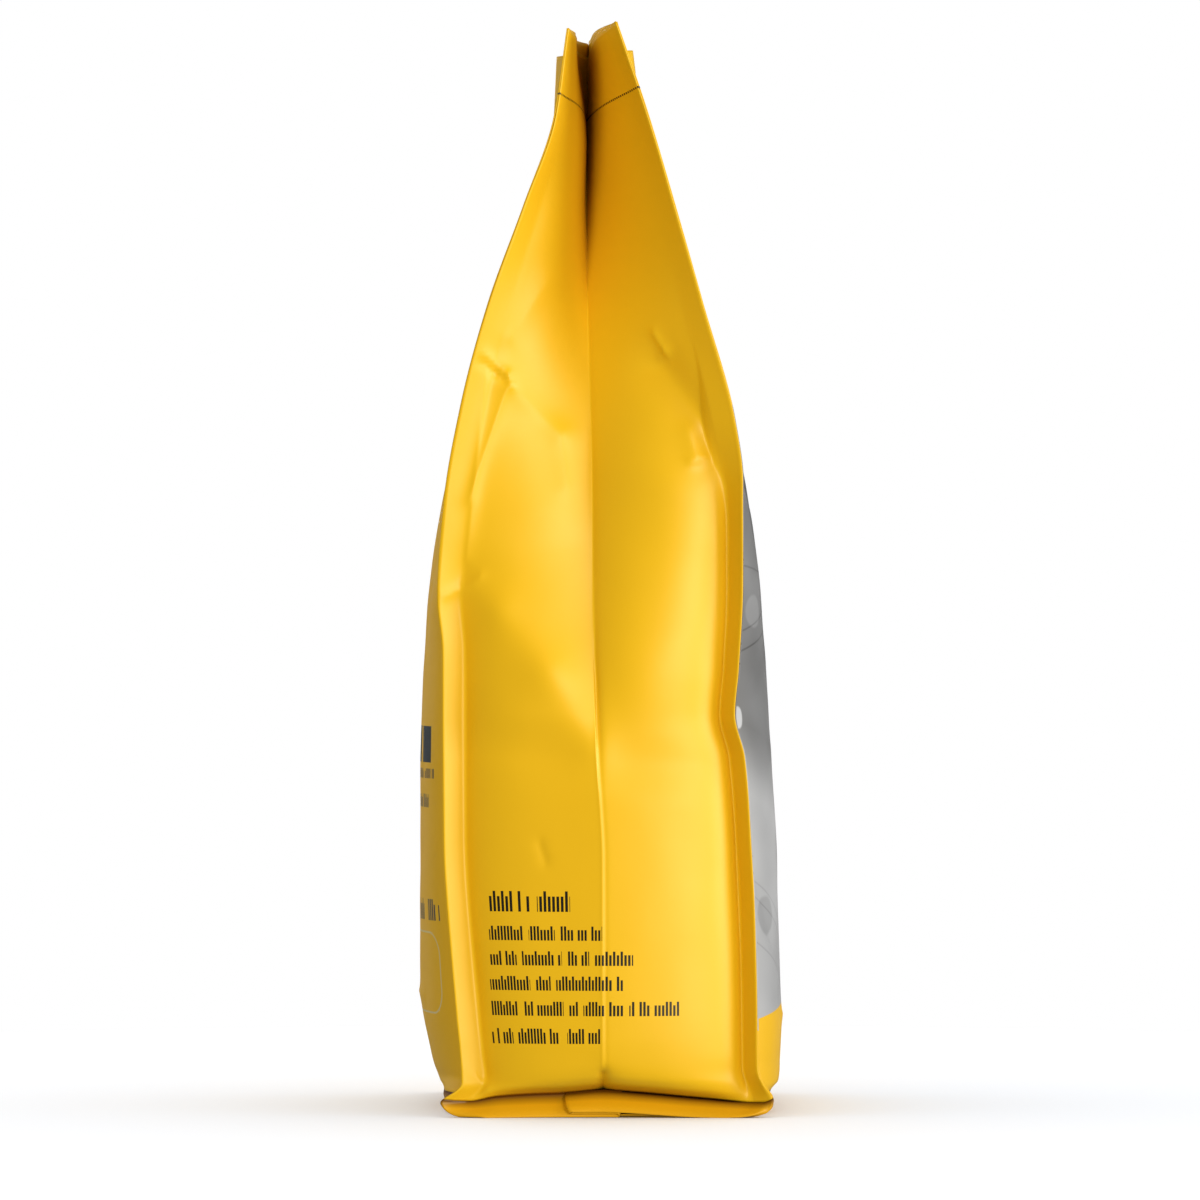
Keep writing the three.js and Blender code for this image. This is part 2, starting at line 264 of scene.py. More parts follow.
# Dents and ridges of each gusset, from one point to another as (across, height). The rise is outwards and
# fades over the width. A sharpness of 1 makes a creased edge, and 2 a soft swell.
near_creases = [
    # the pinch at the front edge, with the ridges that run from it
    {"from": (-35.6, 228.0), "to": (-28.6, 222.6), "rise": -1.0, "width": 1.3, "sharp": 1.2},
    {"from": (-35.0, 229.6), "to": (-28.0, 224.2), "rise": 0.7, "width": 1.6, "sharp": 1.2},
    {"from": (-28.0, 224.2), "to": (-27.0, 221.0), "rise": 0.7, "width": 1.2, "sharp": 1.2},
    {"from": (-34.4, 225.5), "to": (-40.0, 168.0), "rise": 0.5, "width": 2.0, "sharp": 1.3},
    {"from": (-28.2, 220.5), "to": (-39.4, 186.0), "rise": 0.6, "width": 2.0, "sharp": 1.2},
    {"from": (-27.0, 221.0), "to": (-12.0, 206.5), "rise": 0.7, "width": 4.0, "sharp": 1.5},
    {"from": (-12.0, 206.5), "to": (-9.8, 190.0), "rise": 0.6, "width": 3.6, "sharp": 1.5},
    {"from": (-27.0, 236.0), "to": (-16.0, 254.0), "rise": 0.4, "width": 3.0, "sharp": 1.5},
    # the long dent at the back edge, with a small star at its top and a bulge under it
    {"from": (16.3, 237.5), "to": (19.6, 230.6), "rise": 0.9, "width": 1.1, "sharp": 1.1},
    {"from": (17.0, 230.0), "to": (19.8, 232.0), "rise": 0.6, "width": 0.9, "sharp": 1.1},
    {"from": (18.0, 226.5), "to": (36.0, 202.0), "rise": -3.0, "width": 6.6, "sharp": 1.8},
    {"from": (27.0, 206.5), "to": (29.0, 199.5), "rise": 1.3, "width": 3.2, "sharp": 1.6},
    {"from": (27.0, 197.4), "to": (37.0, 199.6), "rise": 0.5, "width": 1.1, "sharp": 1.2},
    # the kink of the front fin
    {"from": (-47.0, 156.5), "to": (-41.5, 159.5), "rise": 0.6, "width": 1.2, "sharp": 1.2},
    {"from": (-41.5, 157.5), "to": (-35.5, 162.5), "rise": 0.5, "width": 1.2, "sharp": 1.2},
    # the soft ridge where the tucked-in film gives way to the belly
    {"from": (-36.0, 158.0), "to": (-30.0, 152.0), "rise": 0.6, "width": 6.0, "sharp": 1.8},
    {"from": (-30.0, 152.0), "to": (-15.5, 134.0), "rise": 1.1, "width": 9.0, "sharp": 1.8},
    {"from": (-15.5, 134.0), "to": (-3.0, 112.0), "rise": 0.9, "width": 7.0, "sharp": 1.8},
    # small dents lower down
    {"from": (-18.2, 82.5), "to": (-16.4, 77.0), "rise": -0.5, "width": 1.3, "sharp": 1.2},
    {"from": (-40.2, 17.0), "to": (-33.8, 9.8), "rise": 0.6, "width": 1.2, "sharp": 1.2},
    {"from": (-41.0, 19.0), "to": (-35.0, 14.0), "rise": -0.6, "width": 2.4, "sharp": 1.5},
    # the dimple where the fold meets the bottom seam
    {"from": (0.9, 12.6), "to": (0.9, 7.0), "rise": -2.4, "width": 1.2, "sharp": 1.2},
    {"from": (0.9, 8.6), "to": (0.9, 7.0), "rise": -1.6, "width": 3.2, "sharp": 1.4},
]
far_creases = [
    {"from": (33.0, 221.0), "to": (26.5, 216.5), "rise": -1.0, "width": 1.4, "sharp": 1.2},
    {"from": (32.0, 223.0), "to": (26.0, 218.5), "rise": 0.7, "width": 1.6, "sharp": 1.2},
    {"from": (32.0, 218.0), "to": (38.0, 172.0), "rise": 0.5, "width": 2.0, "sharp": 1.3},
    {"from": (26.0, 214.5), "to": (37.0, 182.0), "rise": 0.8, "width": 1.6, "sharp": 1.2},
    {"from": (25.0, 215.0), "to": (11.0, 203.0), "rise": 0.8, "width": 2.8, "sharp": 1.2},
    {"from": (-17.0, 226.0), "to": (-35.0, 194.0), "rise": -2.0, "width": 6.0, "sharp": 1.8},
    {"from": (-25.0, 199.0), "to": (-27.0, 191.0), "rise": 1.5, "width": 3.8, "sharp": 1.7},
    {"from": (36.0, 160.0), "to": (14.0, 140.0), "rise": 0.9, "width": 8.0, "sharp": 1.8},
    {"from": (14.0, 140.0), "to": (2.0, 122.0), "rise": 0.8, "width": 7.0, "sharp": 1.8},
    {"from": (-12.0, 66.0), "to": (-9.0, 60.0), "rise": -0.5, "width": 1.4, "sharp": 1.2},
    {"from": (38.0, 18.0), "to": (32.0, 10.0), "rise": 0.6, "width": 1.3, "sharp": 1.2},
    {"from": (0.2, 13.4), "to": (0.2, 7.0), "rise": -1.9, "width": 1.2, "sharp": 1.2},
    {"from": (0.2, 9.6), "to": (0.2, 7.0), "rise": -1.4, "width": 2.8, "sharp": 1.4},
]
creases = {"near": near_creases, "far": far_creases}

# A crease is counted out to this many times its own width.
crease_reach = 4


def crease_rise(marks, across, height):
    """How far the dents and ridges lift the film at a place."""
    rise = 0.0
    for mark in marks:
        (y0, z0), (y1, z1) = mark["from"], mark["to"]
        reach = crease_reach * mark["width"]
        if not min(y0, y1) - reach < across < max(y0, y1) + reach:
            continue
        if not min(z0, z1) - reach < height < max(z0, z1) + reach:
            continue
        run_y, run_z = y1 - y0, z1 - z0
        t = clamp(((across - y0) * run_y + (height - z0) * run_z) / (run_y ** 2 + run_z ** 2))
        distance = math.hypot(across - y0 - t * run_y, height - z0 - t * run_z)
        rise += mark["rise"] * math.exp(-((distance / mark["width"]) ** mark["sharp"]))
    return rise


def swell(x, y, z, size, seed):
    """Slow, smooth unevenness of slack film, between about -1 and 1."""
    return noise.noise(Vector((x / size + seed, y / size - seed, z / size)))


# The fold shows all the way down. Just behind it the film is creased in, most where the belly begins, and
# below that a fine raised line is left.
groove_depth = through(
    (98, 0.0), (108, 0.4), (118, 0.9), (128, 1.0), (140, 0.5), (160, 0.15), (235, 0.12), (262, 0.0),
)
groove_width = 0.65
line_rise = 0.07
line_width = 0.5
line_edge_dent = 0.09
line_edge_width = 0.6
line_edge_from_fold = 1.1
line_full_below = 110
line_gone_above = 130


def fold_groove(height, width):
    from_fold = width - gusset_half_width
    line = line_rise * math.exp(-((from_fold / line_width) ** 2))
    line -= line_edge_dent * math.exp(-(((from_fold - line_edge_from_fold) / line_edge_width) ** 2))
    behind = max(from_fold / groove_width, 0.0)
    groove = groove_depth(height) * behind * math.exp(1 - behind)
    return line * (1 - smoothstep(line_full_below, line_gone_above, height)) - groove


def standing(height, corner_top, middle_top, share):
    """The height of a point of the film, lower over the folds than at the corners near the top edge."""
    lost = bag_height - mix(corner_top, middle_top, share)
    return height - lost * smoothstep(top_dip_start, bag_height, height)


# The deepest dent that the film takes, on a fin and away from it.
fin_dent = 0.1
film_dent = 4.0

# The film bends softly out of its fins, over this much of its width to each side, and sharply at the fold,
# where it is averaged at shares of that width, each with its weight.
root_rounding = 1.3
fold_rounding = 0.05
rounding_shares = ((-1, 1), (-0.5, 2), (0, 2), (0.5, 2), (1, 1))
sharp_up_to = 1.0
soft_from = 6.0

# The slow unevenness of slack film: its rise and its size, in broad and in fine swells, and along the fins.
broad_swell = 0.35
broad_swell_size = 34.0
fine_swell = 0.12
fine_swell_size = 13.0
fin_swell = 0.25
fin_swell_size = 26.0
fin_swell_from = 8
fin_swell_full = 30
gusset_swell_seeds = {"near": 3.1, "far": 11.7}
slack_up_to = 290
taut_from = 315

# Where the film meets the bottom seam, across the gusset, and how far up it is drawn to that line.
seam_pull_top = 26
seam_line = through(
    (-48, 5.7), (-43, 5.0), (-39, 4.9), (-31, 6.1), (-21, 6.8), (-12, 7.1), (0.8, 8.0), (12, 7.3), (30, 5.6),
    (45, 4.5), (49, 4.6), (52.3, 6.0),
)


def gusset_point(end, width, height):
    """A point on the outer face of a gusset, at a width and a height of film."""
    near_fold = 1 - smoothstep(sharp_up_to, soft_from, abs(width - gusset_half_width))
    rounding = mix(root_rounding, fold_rounding, near_fold)
    rounding = min(rounding, width, 2 * gusset_half_width - width)
    here = Vector((0, 0))
    for share, weight in rounding_shares:
        here += gusset_line(end, height, width + share * rounding) * weight / 8
    step = mix(1.2, 0.2, near_fold)
    way = gusset_line(end, height, min(width + step, 2 * gusset_half_width)) - gusset_line(
        end, height, max(width - step, 0.0)
    )
    way.normalize()
    out = Vector((-way.y, way.x))
    from_edge = min(width, 2 * gusset_half_width - width)
    on_film = smoothstep(fin_width - 1.0, fin_width + 6.0, from_edge)
    slack = on_film * (1 - smoothstep(slack_up_to, taut_from, height))
    rise = crease_rise(creases[end], here.y, height) * smoothstep(0.5, 2.5, from_edge)
    rise = max(rise, mix(-fin_dent, -film_dent, on_film))
    seed = gusset_swell_seeds[end]
    rise += broad_swell * swell(0, here.y, height, broad_swell_size, seed) * slack
    rise += fine_swell * swell(0, here.y, height * 0.7, fine_swell_size, seed + 5) * slack
    along_fin = fin_swell * swell(0, width * 0.2, height, fin_swell_size, seed + 9)
    rise += along_fin * (1 - on_film) * smoothstep(fin_swell_from, fin_swell_full, height)
    rise += fold_groove(height, width)
    place = here + out * rise
    half = "front" if width <= gusset_half_width else "back"
    corner_top = front_corner_top if half == "front" else back_corner_top
    deepest = max(fold_depth[end](max(height, seam_height)), 1.0)
    z = standing(height, corner_top, gusset_fold_top, clamp(here.x / deepest))
    near_seam = 1 - smoothstep(seam_height, seam_pull_top, height)
    across_here = here.y if end == "near" else -here.y
    z += (seam_line(across_here) - seam_height) * near_seam
    direction = 1 if end == "near" else -1
    return Vector((direction * (fin_tip_along(height) - place.x), place.y, z))


def film_sheet(name, widths, heights, place):
    """A sheet of film as a mesh: a grid whose vertices go where place(width, height) says, with its own UV
    map in metres of film, and a wall on its inner side."""
    bm = bmesh.new()
    across, up = len(widths) - 1, len(heights) - 1
    bmesh.ops.create_grid(bm, x_segments=across, y_segments=up, size=1.0)
    film = bm.loops.layers.uv.new("film")
    flat = {}
    for vertex in bm.verts:
        i = round((vertex.co.x + 1) / 2 * across)
        j = round((vertex.co.y + 1) / 2 * up)
        flat[vertex] = (widths[i] / 1000, heights[j] / 1000)
        vertex.co = place(widths[i], heights[j]) / 1000
    for face in bm.faces:
        face.smooth = True
        for loop in face.loops:
            loop[film].uv = flat[loop.vert]
    mesh = bpy.data.meshes.new(name)
    bm.to_mesh(mesh)
    bm.free()
    sheet = bpy.data.objects.new(name, mesh)
    bpy.context.scene.collection.objects.link(sheet)
    wall = sheet.modifiers.new("film thickness", "SOLIDIFY")
    wall.thickness = film_thickness / 1000
    wall.offset = -1.0
    wall.use_quality_normals = True
    return sheet


def steps(*stretches):
    """Positions along a line, as stretches of (from, to, pieces) that follow one another."""
    places = []
    for start, finish, pieces in stretches:
        places += [mix(start, finish, k / pieces) for k in range(pieces)]
    return places + [stretches[-1][1]]


# The grid of a gusset's film is finest beside the fins and at the fold.
half_widths = steps((0, 4.4, 4), (4.4, 16.0, 24), (16.0, 48.5, 42), (48.5, 50.5, 5), (50.5, 52.0, 8))
gusset_widths = half_widths + [2 * gusset_half_width - w for w in reversed(half_widths[:-1])]
gusset_heights = steps((seam_height, 14, 12), (14, 329, 268))

film_yellow = (0.75, 0.42, 0.006)
ink = (0.008, 0.006, 0.004)
tear_brown = (0.04, 0.016, 0.003)
tear_line_height = 309.3
tear_line_half_width = 0.3
tear_line_pitch = 1.5
tear_dash_share = 0.66

# In a row of strokes, the part of the pitch that each stroke takes, the share of strokes left out, and how
# much higher the tall ones reach.
stroke_share = 0.64
strokes_left_out = 0.08
tall_strokes_from = 0.6
tall_strokes_by = 0.17


class Printing:
    """The print on a sheet of film, and the painted shade on the bottom film, laid over its colour shape by
    shape, in millimetres of film.
    """

    def __init__(self, tree, colour):
        self.tree = tree
        self.colour = colour
        film = self.node("ShaderNodeUVMap")
        film.uv_map = "film"
        self.film = self.vector("SCALE", film.outputs["UV"], scale=1000.0)
        split = self.node("ShaderNodeSeparateXYZ")
        tree.links.new(self.film, split.inputs["Vector"])
        self.across, self.up = split.outputs["X"], split.outputs["Y"]

    def node(self, kind):
        return self.tree.nodes.new(kind)

    def math(self, operation, *values, clamped=False):
        node = self.node("ShaderNodeMath")
        node.operation = operation
        node.use_clamp = clamped
        for socket, value in zip(node.inputs, values):
            if isinstance(value, (int, float)):
                socket.default_value = value
            else:
                self.tree.links.new(value, socket)
        return node.outputs["Value"]

    def vector(self, operation, *values, scale=None):
        node = self.node("ShaderNodeVectorMath")
        node.operation = operation
        for socket, value in zip(node.inputs, values):
            if isinstance(value, tuple):
                socket.default_value = value
            else:
                self.tree.links.new(value, socket)
        if scale is not None:
            node.inputs["Scale"].default_value = scale
        return node.outputs["Value" if operation == "LENGTH" else "Vector"]

    def fill(self, mask, colour):
        """Lays a colour, or another node's colour, over what is there wherever the mask is 1."""
        node = self.node("ShaderNodeMix")
        node.data_type = "RGBA"
        self.tree.links.new(mask, node.inputs["Factor"])
        self.tree.links.new(self.colour, node.inputs["A"])
        if isinstance(colour, tuple):
            node.inputs["B"].default_value = colour + (1,)
        else:
            self.tree.links.new(colour, node.inputs["B"])
        self.colour = node.outputs["Result"]

    def bar(self, left, right, low, high):
        wide = self.math("COMPARE", self.across, (left + right) / 2, (right - left) / 2)
        tall = self.math("COMPARE", self.up, (low + high) / 2, (high - low) / 2)
        return self.math("MULTIPLY", wide, tall)

    def from_oval(self, middle, half_size):
        """Distance from the middle of an oval, which is 1 on its edge."""
        away = self.vector("SUBTRACT", self.film, (middle[0], middle[1], 0.0))
        return self.vector("LENGTH", self.vector("DIVIDE", away, (half_size[0], half_size[1], 1.0)))

    def oval(self, middle, half_size):
        return self.math("LESS_THAN", self.from_oval(middle, half_size), 1.0)

    def rounded_frame(self, middle, half_size, corner, line):
        away = self.vector("ABSOLUTE", self.vector("SUBTRACT", self.film, (middle[0], middle[1], 0.0)))
        past = self.vector("SUBTRACT", away, (half_size[0] - corner, half_size[1] - corner, 0.0))
        reach = self.vector("LENGTH", self.vector("MAXIMUM", past, (0.0, 0.0, 0.0)))
        return self.math("COMPARE", reach, corner, line / 2)

    def row_of_strokes(self, groups, low, high, pitch, seed):
        """A row of small upright strokes in groups, from left to right, with some of them taller."""
        place = self.math("DIVIDE", self.across, pitch)
        inside = self.math("LESS_THAN", self.math("FRACT", place), stroke_share)
        chance = self.node("ShaderNodeTexWhiteNoise")
        chance.noise_dimensions = "1D"
        self.tree.links.new(self.math("ADD", self.math("FLOOR", place), seed), chance.inputs["W"])
        kept = self.math("GREATER_THAN", chance.outputs["Value"], strokes_left_out)
        is_tall = self.math("GREATER_THAN", chance.outputs["Value"], tall_strokes_from)
        taller = self.math("MULTIPLY", is_tall, (high - low) * tall_strokes_by)
        middle = self.math("ADD", taller, (low + high) / 2)
        tall = self.math("COMPARE", self.up, middle, self.math("ADD", taller, (high - low) / 2))
        wide = None
        for left, right in groups:
            group = self.math("COMPARE", self.across, (left + right) / 2, (right - left) / 2)
            wide = self.math("MAXIMUM", wide, group) if wide else group
        return self.math("MULTIPLY", self.math("MULTIPLY", wide, tall), self.math("MULTIPLY", inside, kept))

    def tear_line(self):
        """The dashed line to tear along, round the whole bag below its top seal."""
        along = self.math("FRACT", self.math("DIVIDE", self.across, tear_line_pitch))
        dash = self.math("LESS_THAN", along, tear_dash_share)
        line = self.math("COMPARE", self.up, tear_line_height, tear_line_half_width)
        self.fill(self.math("MULTIPLY", line, dash), tear_brown)


def film_material(name, lay_print_and_shade, colour=film_yellow):
    """Matt printed film: even colour, a broad soft shine, a fine skin, and faint cloudiness in the shine."""
    material = bpy.data.materials.new(name)
    material.use_nodes = True
    tree = material.node_tree
    nodes, links = tree.nodes, tree.links
    shader = nodes["Principled BSDF"]
    shader.inputs["Specular IOR Level"].default_value = 0.5
    shader.inputs["Specular Tint"].default_value = (1.0, 0.88, 0.6, 1)
    place = nodes.new("ShaderNodeTexCoord")

    cloud = nodes.new("ShaderNodeTexNoise")
    cloud.inputs["Scale"].default_value = 45.0
    cloud.inputs["Detail"].default_value = 3.0
    links.new(place.outputs["Object"], cloud.inputs["Vector"])
    shine = nodes.new("ShaderNodeMapRange")
    shine.inputs["To Min"].default_value = 0.37
    shine.inputs["To Max"].default_value = 0.47
    links.new(cloud.outputs["Fac"], shine.inputs["Value"])
    links.new(shine.outputs["Result"], shader.inputs["Roughness"])

    skin = nodes.new("ShaderNodeTexNoise")
    skin.inputs["Scale"].default_value = 260.0
    skin.inputs["Detail"].default_value = 4.0
    links.new(place.outputs["Object"], skin.inputs["Vector"])
    bump = nodes.new("ShaderNodeBump")
    bump.inputs["Strength"].default_value = 0.05
    bump.inputs["Distance"].default_value = 0.0004
    links.new(skin.outputs["Fac"], bump.inputs["Height"])
    links.new(bump.outputs["Normal"], shader.inputs["Normal"])

    tone = nodes.new("ShaderNodeMix")
    tone.data_type = "RGBA"
    tone.inputs["A"].default_value = colour + (1,)
    tone.inputs["B"].default_value = tuple(0.95 * c for c in colour) + (1,)
    links.new(cloud.outputs["Fac"], tone.inputs["Factor"])
    printing = Printing(tree, tone.outputs["Result"])
    lay_print_and_shade(printing)
    links.new(printing.colour, shader.inputs["Base Color"])
    return material


# The small print low on each gusset, row by row in millimetres of film: its lower and upper edge, the pitch
# of its strokes, and where its groups start and end from the margin, which leans a little.
print_margin = 11.4
print_lean = 0.075
seed_step = 57.0
gusset_print = [
    (62.0, 66.6, 1.35, ((0, 13.4), (15.6, 26.0))),
    (53.4, 56.6, 1.08, ((0, 11.4), (13.2, 21.6), (23.4, 36.6))),
    (45.9, 49.1, 1.08, ((0, 9.4), (11.2, 24.2), (26.0, 33.0), (34.8, 46.0))),
    (38.4, 41.6, 1.08, ((0, 14.0), (15.8, 20.8), (22.6, 43.6))),
    (30.8, 34.0, 1.08, ((0, 10.2), (12.0, 25.4), (27.2, 30.2), (32.0, 44.2), (46.0, 60.4))),
    (22.4, 25.8, 1.1, ((0, 8.2), (10.0, 25.2), (27.0, 38.2))),
]


def print_gusset(printing):
    for seed, (low, high, pitch, groups) in enumerate(gusset_print):
        margin = print_margin + print_lean * low
        groups = [(margin + left, margin + right) for left, right in groups]
        printing.fill(printing.row_of_strokes(groups, low, high, pitch, seed * seed_step), ink)
    printing.tear_line()


gusset_film = film_material("gusset film", print_gusset)
for end in ("near", "far"):
    def place(width, height, end=end):
        if end == "far":
            width = 2 * gusset_half_width - width
        return gusset_point(end, width, height)

    gusset = film_sheet(end + "_gusset", gusset_widths, gusset_heights, place)
    gusset.data.materials.append(gusset_film)
    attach(gusset, "root")
    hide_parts("coffee_bag")


# The front and back panels.
# Each is one width of the same film, welded to the gussets along the fins. Its middle bellies out over the
# coffee, and towards the top it lies flat on the gussets' flaps and on the other panel in the seal.
bellies = {
    "front": through(
        (0, -46), (7, -46.4), (9.5, -49.2), (17, -52.2), (36, -55.4), (60, -55.4), (130, -54.2),
        (152, -52.8), (185, -48.2), (215, -42), (245, -33), (275, -21), (300, -8.5), (314, -4.2),
        (329, -3.8),
    ),
    "back": through(
        (0, 48.5), (7, 49), (9.5, 53.6), (17, 54.8), (29, 55.4), (66, 54.2), (115, 52.1), (137, 50.5),
        (161, 48.4), (185, 45.6), (215, 39.5), (245, 30.4), (275, 18.6), (300, 5), (314, -1.8), (329, -2.2),
    ),
}
belly_angle = through((0, 20), (14, 44), (120, 46), (175, 34), (215, 16), (245, 4), (300, 0))
belly_handle_at_fin = 0.3
belly_handle_at_middle = 0.5
panel_film_pieces = 64
press_starts = 258
press_full = 314
panel_broad_swell = 0.45
panel_broad_swell_size = 38.0
panel_fine_swell = 0.16
panel_fine_swell_size = 14.0
panel_swell_seeds = {"front": 21.3, "back": 35.9}
panel_creases = {
    "front": [
        {"from": (-30, 36), "to": (30, 35), "rise": 0.5, "width": 2.0, "sharp": 1.2},
        {"from": (-52, 210), "to": (-30, 188), "rise": -1.0, "width": 7.0, "sharp": 1.7},
        {"from": (48, 176), "to": (34, 150), "rise": -0.8, "width": 7.0, "sharp": 1.7},
        {"from": (20, 262), "to": (-8, 240), "rise": 0.6, "width": 6.0, "sharp": 1.6},
    ],
    "back": [
        {"from": (-30, 28), "to": (30, 29), "rise": 0.5, "width": 2.0, "sharp": 1.2},
        {"from": (50, 205), "to": (28, 182), "rise": -1.0, "width": 7.0, "sharp": 1.7},
        {"from": (-46, 168), "to": (-30, 146), "rise": -0.8, "width": 7.0, "sharp": 1.7},
        {"from": (58, 76), "to": (46, 52), "rise": -0.6, "width": 3.0, "sharp": 1.4},
        {"from": (60, 60), "to": (40, 40), "rise": 0.5, "width": 2.4, "sharp": 1.3},
    ],
}


def pressed(height):
    """How firmly the panels lie on the gussets: 0 where they stand free, 1 in the top seal."""
    return smoothstep(press_starts, press_full, height)


def across_at_depth(end, half, height, depth):
    """How far across the bag the flap of a gusset lies at a depth behind the fin tips."""
    tip, root, film = gusset_half(end, half, height)
    line = [tip] + film
    for p, q in zip(line, line[1:]):
        if q.x >= depth:
            return mix(p.y, q.y, (depth - p.x) / (q.x - p.x) if q.x > p.x else 0.0)
    other = gusset_half("far" if end == "near" else "near", half, height)[2][-1].y
    middle = (line[-1].y + other) / 2
    return mix(line[-1].y, middle, clamp((depth - line[-1].x) / (fin_tip_along(height) - line[-1].x)))


@lru_cache(maxsize=None)
def panel_half(end, half, height):
    """Half of a panel in a level section: the edge and root of its fin, and its film from root to middle,
    as (distance along from the middle, distance across)."""
    side = -1 if half == "front" else 1
    along = fin_tip_along(height)
    angle = math.radians(fin_angle[half](height))
    out = Vector((-math.cos(angle), side * math.sin(angle))) * weld_thickness
    gusset_tip, gusset_root, film = gusset_half(end, half, height)
    tip = Vector((along - gusset_tip.x, gusset_tip.y)) + out
    root = Vector((along - gusset_root.x, gusset_root.y)) + out
    slope = math.radians(belly_angle(height))
    points = evenly(
        arc(
            root, Vector((-math.cos(slope), side * math.sin(slope))), Vector((0, bellies[half](height))),
            Vector((-1, 0)), belly_handle_at_fin, belly_handle_at_middle,
        ),
        panel_film_pieces,
    )
    press = pressed(height)
    if press > 0:
        deepest = film[-1].x
        for point in points:
            depth = along - point.x
            layers = mix(weld_thickness, weld_thickness / 2, smoothstep(deepest - 3, deepest + 3, depth))
            flat = across_at_depth(end, half, height, depth) + side * layers
            point.y = mix(point.y, flat, press)
        points = evenly(points, len(points) - 1)
    return tip, root, points


def panel_line(half, height, width):
    """The point of a level section of a panel at a width of film, counted from its far edge."""
    end = "far" if width <= panel_width / 2 else "near"
    from_edge = width if end == "far" else panel_width - width
    tip, root, film = panel_half(end, half, height)
    if from_edge <= fin_width:
        point = tip.lerp(root, clamp(from_edge / fin_width))
    else:
        point = along_line(film, (from_edge - fin_width) / (panel_width / 2 - fin_width))
    return Vector((-point.x if end == "far" else point.x, point.y))


def panel_point(half, width, height):
    """A point on the outer face of a panel, at a width and a height of film."""
    side = -1 if half == "front" else 1
    rounding = min(root_rounding, width, panel_width - width)
    here = panel_line(half, height, width - rounding) + panel_line(half, height, width) * 2
    here = (here + panel_line(half, height, width + rounding)) / 4
    step = 0.4
    way = panel_line(half, height, min(width + step, panel_width)) - panel_line(
        half, height, max(width - step, 0.0)
    )
    way.normalize()
    out = Vector((-way.y, way.x)) * side
    from_edge = min(width, panel_width - width)
    on_film = smoothstep(fin_width - 1.0, fin_width + 8.0, from_edge)
    loose = on_film * (1 - pressed(height)) * smoothstep(6, 20, height)
    seed = panel_swell_seeds[half]
    rise = crease_rise(panel_creases[half], here.x, height) * loose
    rise += panel_broad_swell * swell(here.x, 0, height, panel_broad_swell_size, seed) * loose
    rise += panel_fine_swell * swell(here.x, 0, height, panel_fine_swell_size, seed + 5) * loose
    place = here + out * rise
    corner_top = front_corner_top if half == "front" else back_corner_top
    z = standing(height, corner_top, panel_middle_top, 1 - clamp(abs(here.x) / fin_tip_along(height)))
    near_seam = 1 - smoothstep(seam_height, seam_pull_top, height)
    at_corner = 1 - smoothstep(0, 16, from_edge)
    tip_across = abs(fin_tips[half, "far" if width <= panel_width / 2 else "near"](height))
    z += (mix(seam_height, seam_line(side * tip_across), at_corner) - seam_height) * near_seam
    return Vector((place.x, place.y, z))


half_panel = steps((0, 6.4, 4), (6.4, 10.4, 7), (10.4, 70.0, 48))
panel_widths = half_panel + [panel_width - w for w in reversed(half_panel[:-1])]
panel_heights = steps((seam_height, 14, 10), (14, 329, 250))

# The front label, in millimetres of film: a disc with a bean, bars for words, rows of strokes, and a frame.
slate = (0.025, 0.035, 0.045)
pale_line = (0.62, 0.5, 0.22)
panel_middle = panel_width / 2
disc_middle = (panel_middle, 196.0)
disc_size = (24.0, 24.0)
bean_size = (11.5, 16.0)
bean_groove_wave = 5.4
bean_groove_swing = 2.2
bean_groove_half_width = 0.9
word_bars = ((27, 38), (42, 53), (57, 68), (72, 83), (87, 98), (102, 114))
word_bars_low = 106.2
word_bars_high = 117.2
front_print = [
    (101.4, 103.6, 1.0, 411.0, ((76, 88), (90, 104), (106, 117))),
    (92.6, 95.6, 1.2, 503.0, ((30, 51), (53, 64), (67, 90), (92, 112))),
    (58.4, 63.2, 1.7, 87.0, ((92, 105), (108, 118))),
]
frame_middle = (panel_middle, 42.5)
frame_half_size = (46.0, 12.2)
frame_corner = 7.0
frame_line = 0.55


def print_front(printing):
    printing.fill(printing.oval(disc_middle, disc_size), slate)
    printing.fill(printing.oval(disc_middle, bean_size), film_yellow)
    wave = printing.math("SINE", printing.math("DIVIDE", printing.up, bean_groove_wave))
    curve = printing.math("MULTIPLY", wave, bean_groove_swing)
    off_curve = printing.math("SUBTRACT", printing.math("SUBTRACT", printing.across, panel_middle), curve)
    groove = printing.math("COMPARE", off_curve, 0.0, bean_groove_half_width)
    printing.fill(printing.math("MULTIPLY", groove, printing.oval(disc_middle, bean_size)), slate)
    for left, right in word_bars:
        printing.fill(printing.bar(left, right, word_bars_low, word_bars_high), slate)
    for low, high, pitch, seed, groups in front_print:
        printing.fill(printing.row_of_strokes(groups, low, high, pitch, seed), slate)
    border = printing.rounded_frame(frame_middle, frame_half_size, frame_corner, frame_line)
    printing.fill(border, pale_line)
    printing.tear_line()


# The picture field on the back: soft ovals as (middle, half size, change of shade), and thin lines as
# (height at the line's start, slant). Lower down the field is lighter.
soft_ovals = [
    ((15, 120), (2.6, 3.4), 0.3), ((24, 152), (7, 5), 0.06), ((12, 176), (5, 8), -0.05),
    ((58, 150), (17, 17), -0.05), ((96, 118), (13, 13), 0.08), ((116, 166), (10, 10), 0.09),
    ((40, 182), (12, 12), -0.05), ((84, 192), (8, 8), 0.09), ((104, 62), (19, 19), -0.09),
    ((52, 78), (11, 11), -0.1), ((22, 60), (6, 6), -0.08),
]
thin_lines = [(52.0, 0.5), (66.0, 0.5), (71.0, 0.5), (140.0, -0.25), (146.0, -0.25), (166.0, 0.1)]
thin_line_start = 15
thin_line_half_width = 0.3
thin_line_darker = 0.06
drift_scale = 0.035
drift_strength = 0.24
darkest_shade = 0.03
light_lower_down = 0.2
